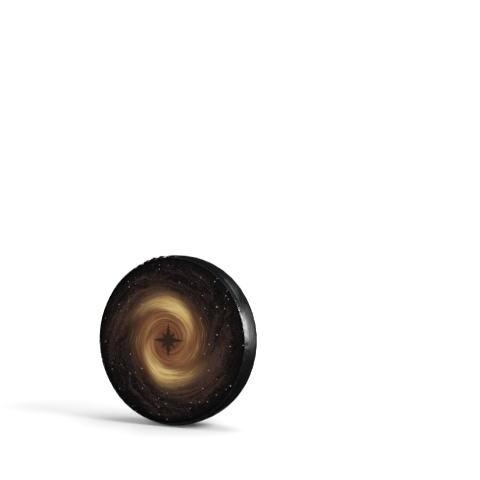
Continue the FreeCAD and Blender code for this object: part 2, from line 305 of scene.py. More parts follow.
class Graph:
    def __init__(self, name, base=(0.5, 0.5, 0.5, 1), **fixed):
        self.mat = bpy.data.materials.new(name)
        self.mat.use_nodes = True
        t = self.mat.node_tree
        self.t = t
        self.bsdf = next(n for n in t.nodes if n.type == "BSDF_PRINCIPLED")
        self.bsdf.inputs["Base Color"].default_value = base
        for k, v in fixed.items():
            self.bsdf.inputs[k.replace("_", " ")].default_value = v

    def put(self, sock, v):
        if v is None:
            return
        if isinstance(v, Sock):
            self.t.links.new(v.s, sock)
        else:
            sock.default_value = v

    def node(self, kind, **attrs):
        n = self.t.nodes.new(kind)
        for k, v in attrs.items():
            setattr(n, k, v)
        return n

    def m(self, op, a, b=None, c=None, clamp=False):
        n = self.node("ShaderNodeMath", operation=op, use_clamp=clamp)
        for i, v in enumerate((a, b, c)):
            self.put(n.inputs[i], v)
        return Sock(self, n.outputs[0])

    def sin(self, a): return self.m("SINE", a)
    def cos(self, a): return self.m("COSINE", a)
    def power(self, a, b): return self.m("POWER", a, b)
    def least(self, a, b): return self.m("MINIMUM", a, b)
    def most(self, a, b): return self.m("MAXIMUM", a, b)
    def clamp(self, a): return self.m("ADD", a, 0.0, clamp=True)

    def step(self, v, a, b):
        """0 below a and 1 above b, smoothly."""
        n = self.node("ShaderNodeMapRange", interpolation_type="SMOOTHSTEP")
        self.put(n.inputs["Value"], v)
        self.put(n.inputs["From Min"], a)
        self.put(n.inputs["From Max"], b)
        return Sock(self, n.outputs[0])

    def bell(self, v, centre, width):
        """1 at centre, falling to 0 over about width."""
        d = (v - centre) / width
        return self.m("EXPONENT", -(d * d))

    def place(self):
        n = self.node("ShaderNodeTexCoord")
        s = self.node("ShaderNodeSeparateXYZ")
        self.t.links.new(n.outputs["Object"], s.inputs[0])
        self.object_coords = Sock(self, n.outputs["Object"])
        return [Sock(self, s.outputs[i]) for i in range(3)]

    def vec(self, x, y, z=0.0):
        n = self.node("ShaderNodeCombineXYZ")
        for i, v in enumerate((x, y, z)):
            self.put(n.inputs[i], v)
        return Sock(self, n.outputs[0])

    def noise(self, vector, scale, detail=2.0, rough=0.5, distort=0.0, dims="3D"):
        n = self.node("ShaderNodeTexNoise", noise_dimensions=dims)
        self.put(n.inputs["Vector"], vector)
        n.inputs["Scale"].default_value = scale
        n.inputs["Detail"].default_value = detail
        n.inputs["Roughness"].default_value = rough
        n.inputs["Distortion"].default_value = distort
        return Sock(self, n.outputs[0])

    def cells(self, vector, scale, feature="F1", dims="3D", random=1.0):
        n = self.node("ShaderNodeTexVoronoi", feature=feature, voronoi_dimensions=dims)
        self.put(n.inputs["Vector"], vector)
        n.inputs["Scale"].default_value = scale
        n.inputs["Randomness"].default_value = random
        out = Sock(self, n.outputs["Distance"])
        if feature == "F1":
            s = self.node("ShaderNodeSeparateColor")
            self.t.links.new(n.outputs["Color"], s.inputs[0])
            return out, [Sock(self, s.outputs[i]) for i in range(3)]
        return out, None

    def mix(self, f, a, b, kind="MIX"):
        n = self.node("ShaderNodeMix", data_type="RGBA", blend_type=kind)
        self.put(n.inputs[0], f)
        self.put(n.inputs[6], a)
        self.put(n.inputs[7], b)
        return Sock(self, n.outputs[2])

    def lerp(self, f, a, b):
        n = self.node("ShaderNodeMix", data_type="FLOAT")
        self.put(n.inputs[0], f)
        self.put(n.inputs[2], a)
        self.put(n.inputs[3], b)
        return Sock(self, n.outputs[0])

    def ramp(self, v, stops):
        n = self.node("ShaderNodeValToRGB")
        self.put(n.inputs[0], v)
        e = n.color_ramp.elements
        while len(e) > 1:
            e.remove(e[-1])
        e[0].position, e[0].color = stops[0][0], (*stops[0][1], 1)
        for p, c in stops[1:]:
            x = e.new(p)
            x.color = (*c, 1)
        return Sock(self, n.outputs[0])

    def bump(self, height, distance, strength=1.0, under=None):
        n = self.node("ShaderNodeBump")
        n.inputs["Strength"].default_value = strength
        n.inputs["Distance"].default_value = distance
        self.put(n.inputs["Height"], height)
        self.put(n.inputs["Normal"], under)
        return Sock(self, n.outputs[0])

    def out(self, **kw):
        for k, v in kw.items():
            self.put(self.bsdf.inputs[k.replace("_", " ")], v)
        return self.mat


def polar(g):
    x, y, z = g.place()
    rad = g.m("SQRT", x * x + z * z)
    return x, y, z, rad, x / rad, z / rad


def weave_height(g, a, b, pitch):
    """Plain weave: threads along a and b pass over and under each other."""
    ka, kb = g.sin(a * (math.pi / pitch)), g.sin(b * (math.pi / pitch))
    return g.m("ABSOLUTE", ka) * 0.5 + g.m("ABSOLUTE", kb) * 0.5 + ka * kb * 0.3


def coated_cloth(name, grain=1.0, rough=0.27, tint=(0.0028, 0.0028, 0.0030), lines=1.0, coat=0.0):
    """Glossy black coated cloth: fine grain, streaks that run round the cover, dust in the hollows."""
    g = Graph(name, (*tint, 1), Roughness=rough, Specular_IOR_Level=0.5, Coat_Weight=coat, Coat_Roughness=0.12)
    x, y, z, rad, c, s = polar(g)
    streak = g.noise(g.vec(c * 3.2, s * 3.2, y * 150.0), 1.0, 3.0, 0.55)
    fine = g.noise(g.vec(c * 16.0, s * 16.0, y * 520.0), 1.0, 2.0, 0.5)
    pebble, _ = g.cells(g.object_coords, 900.0, "SMOOTH_F1")
    grit = g.noise(g.object_coords, 2600.0, 1.0)
    patch = g.noise(g.object_coords, 14.0, 4.0, 0.6)
    colour = g.mix(g.clamp((patch - 0.42) * 1.6), (*tint, 1), (tint[0] * 2.1, tint[1] * 2.1, tint[2] * 2.1, 1))
    colour = g.mix(g.clamp((streak - 0.58) * 2.4), colour, (tint[0] * 3.0, tint[1] * 3.0, tint[2] * 3.1, 1))
    r = g.clamp(rough + (streak - 0.5) * 0.12 * lines + (patch - 0.5) * 0.14)
    n = g.bump(streak, 0.0009 * lines, 0.45)
    n = g.bump(fine, 0.00025 * lines, 0.5, n)
    n = g.bump(pebble, 0.00022 * grain, 0.30, n)
    n = g.bump(grit, 0.00006 * grain, 0.35, n)
    return g.out(Base_Color=colour, Roughness=r, Normal=n)


def knit_lining(name, tint=(0.20, 0.195, 0.185), pitch=0.0016):
    """The unprinted inner face: a fine brushed knit that carries the coating."""
    g = Graph(name, (*tint, 1), Roughness=0.92, Specular_IOR_Level=0.2, Sheen_Weight=0.25, Sheen_Roughness=0.5)
    x, y, z = g.place()
    h = weave_height(g, x + y * 0.7, z - y * 0.7, pitch)
    fuzz = g.noise(g.object_coords, 900.0, 3.0, 0.7)
    blot = g.noise(g.object_coords, 11.0, 4.0, 0.6)
    dark = tuple(v * 0.62 for v in tint)
    colour = g.mix(g.clamp(fuzz * 0.7 + h * 0.4), (*dark, 1), (*tint, 1))
    colour = g.mix(g.clamp((blot - 0.45) * 1.8), colour, (*(v * 0.70 for v in tint), 1))
    # soft creases left from folding and from the pull of the seam: their relief is bumped, and their lines are also
    # lightened in colour, a painted highlight along the folds
    crease_and_highlight = g.power(g.clamp(1.0 - g.m("ABSOLUTE", g.noise(g.object_coords, 3.4, 2.0, 0.45, 0.4) - 0.5) * 16.0), 1.5)
    soft = g.noise(g.object_coords, 8.0, 3.0, 0.5, 0.3)
    # painted highlight: the crease lines are made lighter in colour
    colour = g.mix(g.clamp(crease_and_highlight * 0.22), colour, (*(v * 1.35 for v in tint), 1))
    n = g.bump(soft, 0.012, 0.50)
    n = g.bump(crease_and_highlight, 0.0022, 0.55, n)
    n = g.bump(h, 0.00035, 0.5, n)
    n = g.bump(fuzz, 0.0004, 0.45, n)
    return g.out(Base_Color=colour, Normal=n)


def tape_cloth(name, tint=(0.012, 0.012, 0.013), pitch=0.0011):
    g = Graph(name, (*tint, 1), Roughness=0.8, Specular_IOR_Level=0.3, Sheen_Weight=0.15)
    x, y, z, rad, c, s = polar(g)
    around_m = g.m("ARCTAN2", z, x) * 0.376
    h = weave_height(g, around_m, y + rad, pitch)
    fuzz = g.noise(g.object_coords, 1200.0, 2.0, 0.6)
    colour = g.mix(g.clamp(h * 0.8 + fuzz * 0.3), (tint[0] * 0.55, tint[1] * 0.55, tint[2] * 0.55, 1), (tint[0] * 1.7, tint[1] * 1.7, tint[2] * 1.7, 1))
    n = g.bump(h, 0.00018, 0.6)
    n = g.bump(fuzz, 0.0001, 0.4, n)
    return g.out(Base_Color=colour, Normal=n)


def thread_look(name, tint):
    g = Graph(name, (*tint, 1), Roughness=0.55, Specular_IOR_Level=0.4, Sheen_Weight=0.2)
    g.place()
    ply = g.noise(g.object_coords, 2200.0, 2.0, 0.6)
    lot = g.noise(g.object_coords, 60.0, 2.0)
    colour = g.mix(g.clamp(ply * 1.2 - 0.1), (*(v * 0.5 for v in tint), 1), (*(min(1, v * 1.5) for v in tint), 1))
    colour = g.mix(g.clamp((lot - 0.4) * 1.2), colour, (*(v * 0.7 for v in tint), 1))
    return g.out(Base_Color=colour, Roughness=g.clamp(0.45 + ply * 0.25), Normal=g.bump(ply, 0.0002, 0.5))


# ---- the printed face ---------------------------------------------------------------------------
def printed_face():
    """A generic print: a centred spiral galaxy with two even arms, made of noise that follows a
    logarithmic spiral, scattered stars, and a plain eight-point star in its middle."""
    g = Graph("print_galaxy", (0.01, 0.008, 0.009, 1), Roughness=0.50, Specular_IOR_Level=0.18)
    x, y, z = g.place()
    R = 0.3735
    u, v = x / R, z / R
    rho = g.most(g.m("SQRT", u * u + v * v), 0.002)
    ang = g.m("ARCTAN2", v, u)
    lnr = g.m("LOGARITHM", rho, math.e)
    flat = g.vec(u, v)
    sway = g.noise(flat, 2.1, 2.0)
    sway2 = g.noise(g.vec(u + 3.1, v - 1.7), 4.6, 3.0)
    # two families of streaks: tight ones near the eye and open ones further out
    q = lnr / 0.16 - ang + (sway - 0.5) * 1.1
    o = lnr / 0.36 - ang + (sway - 0.5) * 1.6 + (sway2 - 0.5) * 0.7
    cq, sq, co, so = g.cos(q), g.sin(q), g.cos(o), g.sin(o)
    broad = g.noise(g.vec(cq * 0.9, sq * 0.9, rho * 5.0), 1.0, 3.0, 0.5, 0.2)
    streak = g.noise(g.vec(cq * 2.6, sq * 2.6, rho * 16.0), 1.0, 5.0, 0.60, 0.25)
    hair = g.noise(g.vec(cq * 7.5, sq * 7.5, rho * 30.0), 1.0, 4.0, 0.62, 0.3)
    dusty = g.noise(g.vec(co * 3.2, so * 3.2, rho * 5.0), 1.0, 6.0, 0.64, 0.5)
    wisps = g.noise(g.vec(co * 7.0, so * 7.0, rho * 12.0), 1.0, 6.0, 0.66, 0.9)
    filament = g.power(g.clamp(1.0 - g.m("ABSOLUTE", wisps - 0.5) * 9.0), 2.0)
    fine = g.power(g.clamp(1.0 - g.m("ABSOLUTE", hair - 0.5) * 8.0), 1.6)
    # two even arms that wind out of the eye, half a turn apart
    wind = g.cos((lnr / 0.50 - ang) * 2.0 + (sway - 0.5) * 1.3) * 0.5 + 0.5
    arms = g.step(wind, 0.30, 1.0)
    ring = arms * g.bell(rho, 0.40, 0.17)
    outer = arms * g.bell(rho, 0.68, 0.16)
    # the round glow in the middle
    glow_in = 1.0 - g.step(rho, 0.26, 0.46)
    gold_in = g.clamp(rho * 1.5 + (streak - 0.5) * 2.1 + 0.02)
    core = g.ramp(
        gold_in,
        [
            (0.0, (0.118, 0.033, 0.0180)),
            (0.28, (0.205, 0.066, 0.0300)),
            (0.55, (0.330, 0.128, 0.042)),
            (0.80, (0.430, 0.205, 0.066)),
            (1.0, (0.520, 0.290, 0.108)),
        ],
    )
    # outside it
    base = g.ramp(
        g.clamp((rho - 0.40) / 0.55 + (dusty - 0.5) * 0.25),
        [
            (0.0, (0.088, 0.031, 0.0155)),
            (0.10, (0.050, 0.0175, 0.0105)),
            (0.24, (0.0175, 0.0072, 0.0060)),
            (0.40, (0.0088, 0.0050, 0.0049)),
            (0.62, (0.0052, 0.0039, 0.0041)),
            (1.0, (0.0034, 0.0029, 0.0031)),
        ],
    )
    colour = g.mix(glow_in, base, core)
    halo = g.bell(rho, 0.38, 0.14)
    colour = g.mix(g.clamp(halo * (0.1 + streak * 1.1) * 0.45), colour, (0.330, 0.122, 0.042, 1))
    lit = g.clamp(ring * (0.72 + (streak - 0.5) * 2.6 + (hair - 0.5) * 0.8))
    ring_colour = g.ramp(
        lit,
        [
            (0.0, (0.230, 0.100, 0.036)),
            (0.30, (0.560, 0.300, 0.105)),
            (0.60, (0.900, 0.580, 0.200)),
            (1.0, (1.0, 0.820, 0.360)),
        ],
    )
    colour = g.mix(g.clamp(ring * 0.88), colour, ring_colour)
    # streaks: dark and light hairs along the arms
    warm_zone = g.clamp(1.0 - g.step(rho, 0.50, 0.66))
    colour = g.mix(g.clamp(g.step(0.5 - hair, 0.02, 0.20) * warm_zone * 0.62), colour, (0.052, 0.017, 0.010, 1))
    colour = g.mix(g.clamp(g.step(hair, 0.52, 0.72) * warm_zone * (0.18 + halo * 0.40)), colour, (0.62, 0.42, 0.19, 1))
    # the arms' dusty outer ends
    colour = g.mix(g.clamp(outer * g.step(streak, 0.40, 0.62) * 0.60), colour, (0.105, 0.045, 0.026, 1))
    colour = g.mix(g.clamp(outer * g.step(hair, 0.55, 0.74) * 0.45), colour, (0.270, 0.150, 0.085, 1))
    # dust all round
    zone = g.step(rho, 0.46, 0.62) * (1.0 - g.step(rho, 0.84, 1.0)) * 0.62
    clumps = g.step(dusty, 0.44, 0.66)
    colour = g.mix(g.clamp(zone * clumps * 0.50), colour, (0.0225, 0.0112, 0.0115, 1))
    colour = g.mix(g.clamp(zone * g.step(dusty, 0.58, 0.78) * 0.50), colour, (0.048, 0.026, 0.0265, 1))
    colour = g.mix(g.clamp(zone * filament * (0.12 + clumps * 0.50)), colour, (0.150, 0.092, 0.082, 1))
    colour = g.mix(g.clamp(halo * fine * 0.14), colour, (0.230, 0.140, 0.090, 1))
    lanes = g.step(0.5 - dusty, 0.02, 0.16) * g.step(rho, 0.47, 0.6)
    colour = g.mix(g.clamp(lanes * 0.72), colour, (0.0052, 0.0034, 0.0036, 1))
    colour = g.mix(g.clamp(g.step(rho, 0.80, 1.0) * 0.75), colour, (0.0056, 0.0041, 0.0047, 1))
    # stars
    for scale, size, keep, tint, dust_only in (
        (13.0, 0.046, 0.84, (0.50, 0.43, 0.39, 1), False),
        (28.0, 0.085, 0.66, (0.42, 0.33, 0.29, 1), True),
        (46.0, 0.12, 0.55, (0.32, 0.235, 0.20, 1), True),
        (9.0, 0.054, 0.78, (1.0, 0.88, 0.74, 1), False),
        (6.0, 0.040, 0.70, (1.0, 0.95, 0.90, 1), False),
    ):
        dist, rgb = g.cells(flat, scale, dims="2D")
        chosen = g.step(rgb[0], keep, keep + 0.02)
        power = 0.30 + rgb[1] * 0.70
        dot = (1.0 - g.step(dist, size * 0.35, size)) * chosen * power * g.step(rho, 0.42, 0.50)
        if dust_only:
            dot = dot * g.clamp(zone * 1.3)
        colour = g.mix(g.clamp(dot * 1.15), colour, tint)
    # a plain eight-point star in the middle, four points long and four short
    points = 8.0
    turn = g.m("WRAP", ang / (TAU / points), 0.5, -0.5)  # -0.5 to 0.5 across each point
    long_one = g.step(g.cos(ang * points / 2.0), -0.05, 0.05)
    reach = 0.135 + long_one * 0.085
    half = g.clamp(1.0 - rho / reach) * 0.046
    star = g.step(half - g.m("ABSOLUTE", turn) * rho * (TAU / points), -0.002, 0.003) * (1.0 - g.step(rho, reach - 0.006, reach))
    colour = g.mix(g.clamp(star * 0.93), colour, (0.034, 0.020, 0.0125, 1))
    # ink on a fine woven polyester
    h = weave_height(g, x, z, 0.00085)
    slub = g.noise(g.vec(x * 40.0, z * 900.0, 0.0), 1.0, 2.0)
    colour = g.mix(g.clamp(h * 0.10 + slub * 0.06), colour, (0.0, 0.0, 0.0, 1))
    rough = g.clamp(0.47 + (g.noise(flat, 5.0, 4.0) - 0.5) * 0.12 + (h - 0.5) * 0.05)
    n = g.bump(g.noise(flat, 3.2, 3.0, 0.5), 0.0035, 0.30)
    n = g.bump(h, 0.00012, 0.35, n)
    return g.out(Base_Color=colour, Roughness=rough, Normal=n)


M_PRINT = printed_face()
M_LINING = knit_lining("lining_knit")
M_BAND = coated_cloth("coated_black_band")
M_PIPING = coated_cloth("coated_black_piping", grain=0.6, rough=0.22, tint=(0.011, 0.011, 0.0115), lines=0.4)
M_SKIRT = coated_cloth("coated_black_skirt", grain=1.1, rough=0.36, tint=(0.0085, 0.0085, 0.009), lines=0.5)
M_HEM = coated_cloth("coated_black_hem", grain=1.1, rough=0.40, tint=(0.0095, 0.0095, 0.0100), lines=0.4)
M_TAPE = tape_cloth("tape_polyester")
M_THREAD = thread_look("thread_black", (0.022, 0.022, 0.023))
M_THREAD_IN = thread_look("thread_grey", (0.10, 0.098, 0.094))


# ---- front panel --------------------------------------------------------------------------------
def build_front_panel():
    roll_c = (PANEL_FLAT_R, FRONT_Y + PANEL_ROLL_R)
    flat_r = np.concatenate([np.linspace(0.008, 0.292, 34), np.linspace(0.300, 0.332, 10)])
    out = np.concatenate([
        np.stack([flat_r, np.full(len(flat_r), FRONT_Y)], 1),
        arc(roll_c, PANEL_ROLL_R, math.radians(-90), math.radians(-60.5), 18),
        [(0.3724, -0.07195), (0.3732, -0.0713), (0.3733, -0.0695), (0.3733, SEAM_END_Y)],
    ])
    inn = np.concatenate([
        [(0.3723, SEAM_END_Y), (0.3723, -0.0692)],
        arc(roll_c, PANEL_ROLL_R - 0.001, math.radians(-60), math.radians(-90), 10),
        np.stack([np.concatenate([np.linspace(0.328, 0.300, 6), np.linspace(0.290, 0.012, 20)])] + [np.full(26, FRONT_Y + 0.001)], 1),
    ])
    sec = np.concatenate([out, inn])
    split = len(out)
    fine, coarse = 864, 288
    counts = np.where(sec[:, 0] < 0.2995, coarse, fine)
    co, starts, base = [], [], 0
    for (r, y), n in zip(sec, counts):
        th = around(n)
        co.append(place(np.full(n, r), np.full(n, y), th))
        starts.append(base)
        base += n
    quads, tris, qi, ti = [], [], [], []
    for k in range(len(sec) - 1):
        a, b, na, nb = starts[k], starts[k + 1], counts[k], counts[k + 1]
        mat = 0 if k < split - 1 else 1
        if na == nb:
            j = np.arange(na)
            f = np.stack([a + j, a + (j + 1) % na, b + (j + 1) % na, b + j], 1)
            quads.append(f)
            qi.append(np.full(len(f), mat))
        else:
            flip = na > nb
            c0, f0, n = (b, a, nb) if flip else (a, b, na)
            j = np.arange(n)
            q = np.stack([c0 + j, c0 + (j + 1) % n, f0 + (3 * j + 2) % (3 * n), f0 + 3 * j + 1], 1)
            t1 = np.stack([c0 + j, f0 + 3 * j + 1, f0 + 3 * j], 1)
            t2 = np.stack([c0 + (j + 1) % n, f0 + (3 * j + 3) % (3 * n), f0 + 3 * j + 2], 1)
            if flip:
                q, t1, t2 = q[:, ::-1], t1[:, ::-1], t2[:, ::-1]
            quads.append(q)
            qi.append(np.full(len(q), mat))
            for t in (t1, t2):
                tris.append(t)
                ti.append(np.full(len(t), mat))
    for ring, first, mat in ((0, True, 0), (len(sec) - 1, False, 1)):
        n, at = counts[ring], starts[ring]
        co.append(place(np.array([1e-6]), np.array([sec[ring][1]]), np.array([0.0])))
        j = np.arange(n)
        c = np.full(n, base)
        tris.append(np.stack([c, at + (j + 1) % n, at + j], 1) if first else np.stack([at + j, at + (j + 1) % n, c], 1))
        ti.append(np.full(n, mat))
        base += 1
    return add_mesh(
        "front_panel_cloth", np.concatenate(co), np.concatenate(quads), np.concatenate(tris),
        index=np.concatenate([*qi, *ti]), materials=[M_PRINT, M_LINING],
    )


def put(ob, body, nodes):
    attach(ob, body)
    if nodes:
        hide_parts(*nodes)
    return ob


front = put(build_front_panel(), "shell", ["front_panel"])


# ---- piping, its core, and the seam behind it ---------------------------------------------------
def build_piping():
    th = around(1080)
    half = math.asin(0.0005 / PIPE_R)
    outer = np.concatenate([
        arc(PIPE_AT, PIPE_R, math.pi / 2 + half, math.pi / 2 - half + TAU, 20),
        [(0.37435, SEAM_END_Y), (0.37335, SEAM_END_Y)],
    ])
    inner = arc(PIPE_AT, 0.0018, 0, TAU * 11 / 12, 12)
    sleeve = turned("piping_cloth", [outer, inner], th, [M_PIPING])
    put(sleeve, "shell", ["piping_sleeve"])
    core = turned("piping_cord", [arc(PIPE_AT, 0.00171, 0, TAU * 11 / 12, 12)], around(540), [M_CORE])
    put(core, "shell", ["piping_core"])


def build_front_seam():
    th = around(1080)
    b0, b1 = 0.37225, 0.37535
    y0, e = SEAM_END_Y - 0.006, SEAM_END_Y
    wave = 0.00018 * ripple(th, 120, 260, 21)[None, :]
    pts = np.array([
        (b0, y0), (b0, e + 0.00005), (b1, e + 0.00005), (b1, y0), (b1 + 0.00025, y0 - 0.0002), (b1 + 0.00055, y0),
        (b1 + 0.0006, e - 0.0002), (b1 + 0.0003, e + 0.0006), (0.5 * (b0 + b1), e + 0.00085), (b0 - 0.0003, e + 0.0006),
        (b0 - 0.00065, e - 0.0002), (b0 - 0.0006, y0), (b0 - 0.00028, y0 - 0.0002),
    ])
    outside = np.array([0, 0, 0, 0, 0.5, 1, 1, 1, 1, 1, 1, 1, 0.5])[:, None]
    normal = np.array([0, 0, 0, 0, 1, 1, 1, 0.5, 0, -0.5, -1, -1, -1])[:, None]
    up = np.array([0, 0, 0, 0, -1, 0, 0, 0.7, 1, 0.7, 0, 0, -1])[:, None]
    r, y = pts[:, :1] + np.clip(wave * outside, 0, 1) * normal, pts[:, 1:] + np.clip(wave * outside, 0, 1) * up
    co = place(r, y, th[None, :])
    ob = add_mesh("front_seam_tape", co.reshape(-1, 3), loop_quads(len(pts), len(th)), materials=[M_TAPE])
    put(ob, "shell", ["front_seam_binding"])
    rows = []
    for r, n, seed in ((b0 - 0.00068, -1, 31), (b1 + 0.00068, 1, 32)):
        rows.append(ring_stitches(r, e - 0.003, n, 0.0, 4.6 * MM, seed=seed))
    c, t, n = (np.concatenate(x) for x in zip(*rows))
    ob = stitches("front_seam_thread", c, t, n, 3.7 * MM, 0.40 * MM, M_THREAD_IN)
    put(ob, "shell", ["front_seam_stitching"])


def core_look():
    g = Graph("filler_cord", (0.6, 0.58, 0.53, 1), Roughness=0.6)
    g.place()
    n = g.noise(g.object_coords, 400.0, 2.0)
    return g.out(Base_Color=g.mix(n, (0.48, 0.46, 0.42, 1), (0.68, 0.66, 0.61, 1)), Normal=g.bump(n, 0.0001, 0.4))


M_CORE = core_look()
build_piping()
build_front_seam()


# ---- side band ----------------------------------------------------------------------------------
def band_angles():
    fine = JOIN + np.array([-9, -7, -5.5, -4.2, -3.4, -2.6, -1.8, -1.2, -0.8, -0.5, -0.25, 0, 0.25, 0.5, 0.8, 1.2, 1.8, 2.6, 3.4, 4.2, 5.5, 7, 9]) * MM / BAND_R
    base = around(936)
    keep = np.abs((base - JOIN + math.pi) % TAU - math.pi) > 10.5 * MM / BAND_R
    return np.sort(np.concatenate([base[keep], fine % TAU]))


def join_shape(th):
    """The band's two ends turn in side by side at the join: a groove, and a slight lift each side."""
    d = ((th - JOIN + math.pi) % TAU - math.pi) * BAND_R / MM
    return -0.95 * MM * np.exp(-((d / 0.55) ** 2)) + 0.42 * MM * np.exp(-(((np.abs(d) - 4.5) / 3.2) ** 2))


def build_band():
    th = band_angles()
    a_out = math.asin((FRONT_EDGE_Y - FS_C[1]) / FS_R)
    f_in, r_in = FS_R - BAND_T, RS_R - BAND_T
    a_in = -math.acos((0.3753 - FS_C[0]) / f_in)
    out = np.concatenate([
        [(0.3744, SEAM_END_Y), (0.3744, -0.0698), (0.37455, -0.0712), (0.3752, -0.0716)],
        arc(FS_C, FS_R, a_out, 0, 13),
        line((BAND_R, -0.0437), (BAND_R, 0.0307), 24),
        arc(RS_C, RS_R, 0, REAR_END - 0.006, 12),
    ])
    edge = arc(RS_C, RS_R - 0.0004, REAR_END, REAR_END, 1)
    inn = np.concatenate([
        arc(RS_C, r_in, REAR_END, 0, 9),
        line((BAND_R - BAND_T, 0.029), (BAND_R - BAND_T, -0.042), 14),
        arc(FS_C, f_in, 0, a_in, 10),
        [(0.3753, SEAM_END_Y)],
    ])
    sec = np.concatenate([out, edge, inn])
    r, y = sec[:, :1], sec[:, 1:]
    dr, dy = field(r, y, th[None, :])
    shape = join_shape(th)[None, :] * (1 - ease(-y, 0.060, 0.0705)) * np.where(np.arange(len(sec)) < len(out), 1.0, 0.12)[:, None]
    r2, y2 = r + dr + shape, y + dy
    co = np.stack([r2 * np.cos(th), y2 + 0 * th, r2 * np.sin(th)], -1)
    rows = np.where(np.arange(len(sec)) < len(out), 0, 1)
    ob = add_mesh("side_band_cloth", co.reshape(-1, 3), loop_quads(len(sec), len(th)), index=np.repeat(rows, len(th)), materials=[M_BAND, M_LINING])
    put(ob, "shell", ["side_band"])
    return ob


def band_surface(y, extra=0.0):
    """Radius of the band's outer face at y, and its normal."""
    y = np.asarray(y, float)
    r = np.full(y.shape, BAND_R)
    f, b = y < FS_C[1], y > RS_C[1]
    r = np.where(f, FS_C[0] + np.sqrt(np.maximum(FS_R**2 - (y - FS_C[1]) ** 2, 0)), r)
    r = np.where(b, RS_C[0] + np.sqrt(np.maximum(RS_R**2 - (y - RS_C[1]) ** 2, 0)), r)
    ny = np.where(f, (y - FS_C[1]) / FS_R, np.where(b, (y - RS_C[1]) / RS_R, 0.0))
    return r + extra, np.sqrt(1 - ny**2), ny


def build_band_join():
    # two rows of stitches across the band, each side of the join
    rows = []
    for side, seed in ((-1, 41), (1, 42)):
        rng = np.random.default_rng(seed)
        ys = np.arange(-0.0655, 0.0425, 4.2 * MM)
        r, nr, ny = band_surface(ys, 0.0)
        th = JOIN + side * 3.0 * MM / BAND_R + rng.normal(0, 0.08 * MM / BAND_R, len(ys))
        dr, dy = field(r, ys, th)
        r = r + dr + join_shape(th) * (1 - ease(-ys, 0.060, 0.0705)) + 0.12 * MM
        c = np.stack([r * np.cos(th), ys + dy, r * np.sin(th)], -1)
        m = np.stack([nr * np.cos(th), ny, nr * np.sin(th)], -1)
        t = np.stack([-ny * np.cos(th), nr, -ny * np.sin(th)], -1)
        rows.append((c, t, m))
    c, t, m = (np.concatenate(x) for x in zip(*rows))
    ob = stitches("band_join_thread", c, t, m, 3.4 * MM, 0.38 * MM, M_THREAD)
    put(ob, "shell", ["band_join_stitching"])
    # the tape behind it
    ys = np.concatenate([np.linspace(-0.058, -0.048, 6), np.linspace(-0.044, 0.030, 20), np.linspace(0.034, 0.043, 5)])
    th = JOIN + np.linspace(-10, 10, 21) * MM / BAND_R
    r, nr, ny = band_surface(ys)
    rng = np.random.default_rng(43)
    edge = np.ones((len(ys), len(th)))
    lay = []
    for depth in (1.27 * MM, 1.85 * MM):
        rr = (r - depth * nr)[:, None] + 0 * th[None, :]
        yy = (ys - depth * ny)[:, None] + 0 * th[None, :]
        wav = 0.15 * MM * np.sin(ys * 420)[:, None] * (np.abs(np.linspace(-1, 1, len(th))) ** 6)[None, :]
        lay.append(place(rr - np.abs(wav), yy, th[None, :]))
    rows_n, cols_n = len(ys), len(th)
    co = np.concatenate([lay[0].reshape(-1, 3), lay[1].reshape(-1, 3)])
    q = loop_quads(rows_n, cols_n, 0, False, False)
    k = rows_n * cols_n
    faces = [q[:, ::-1], q + k]
    rim = np.concatenate([
        np.arange(cols_n), np.arange(1, rows_n) * cols_n + cols_n - 1,
        (rows_n - 1) * cols_n + np.arange(cols_n - 2, -1, -1), np.arange(rows_n - 2, 0, -1) * cols_n,
    ])
    nxt = np.roll(rim, -1)
    faces.append(np.stack([rim, nxt, nxt + k, rim + k], 1))
    ob = add_mesh("band_join_tape_cloth", co, np.concatenate(faces), materials=[M_TAPE])
    put(ob, "shell", ["band_join_tape"])


def build_rear_seam_thread():
    rows = []
    for y, seed in ((LAP_Y + 0.0025, 51), (LAP_Y + 0.0085, 52)):
        r, nr, ny = band_surface(np.array([y]), 0.00012)
        rows.append(ring_stitches(float(r[0]), y, float(nr[0]), float(ny[0]), 4.3 * MM, seed=seed))
    c, t, n = (np.concatenate(x) for x in zip(*rows))
    ob = stitches("rear_seam_thread", c, t, n, 3.5 * MM, 0.40 * MM, M_THREAD)
    put(ob, "shell", ["rear_seam_stitching"])


build_band()
build_band_join()
build_rear_seam_thread()


# ---- rear skirt: cloth that the hem pulls in over the tyre's shoulder ---------------------------
COLS, ROWS = 432, 24  # columns round the cover, rows from the bend to the hem
BEND_MID = BEND_R - 0.0005
LAP_MID = RS_R - BAND_T - 0.0003 - 0.0005
START = (BEND_C[0] + BEND_MID * math.cos(REAR_END), BEND_C[1] + BEND_MID * math.sin(REAR_END))
LENGTH = BEND_MID * (math.pi / 2 - REAR_END) + (BEND_C[0] - 0.2800)


def skirt_plain(s):
    """The skirt's smooth shape: a point at distance s from the bend's start."""
    turn = BEND_MID * (math.pi / 2 - REAR_END)
    a = REAR_END + np.minimum(s, turn) / BEND_MID
    r = BEND_C[0] + BEND_MID * np.cos(a) - np.maximum(s - turn, 0)
    return r, BEND_C[1] + BEND_MID * np.sin(a)


def gather_wave(th):
    """Where the cloth bunches along the cord: about 56 folds, uneven in size and spacing."""
    return ripple(th, 46, 66, 61)


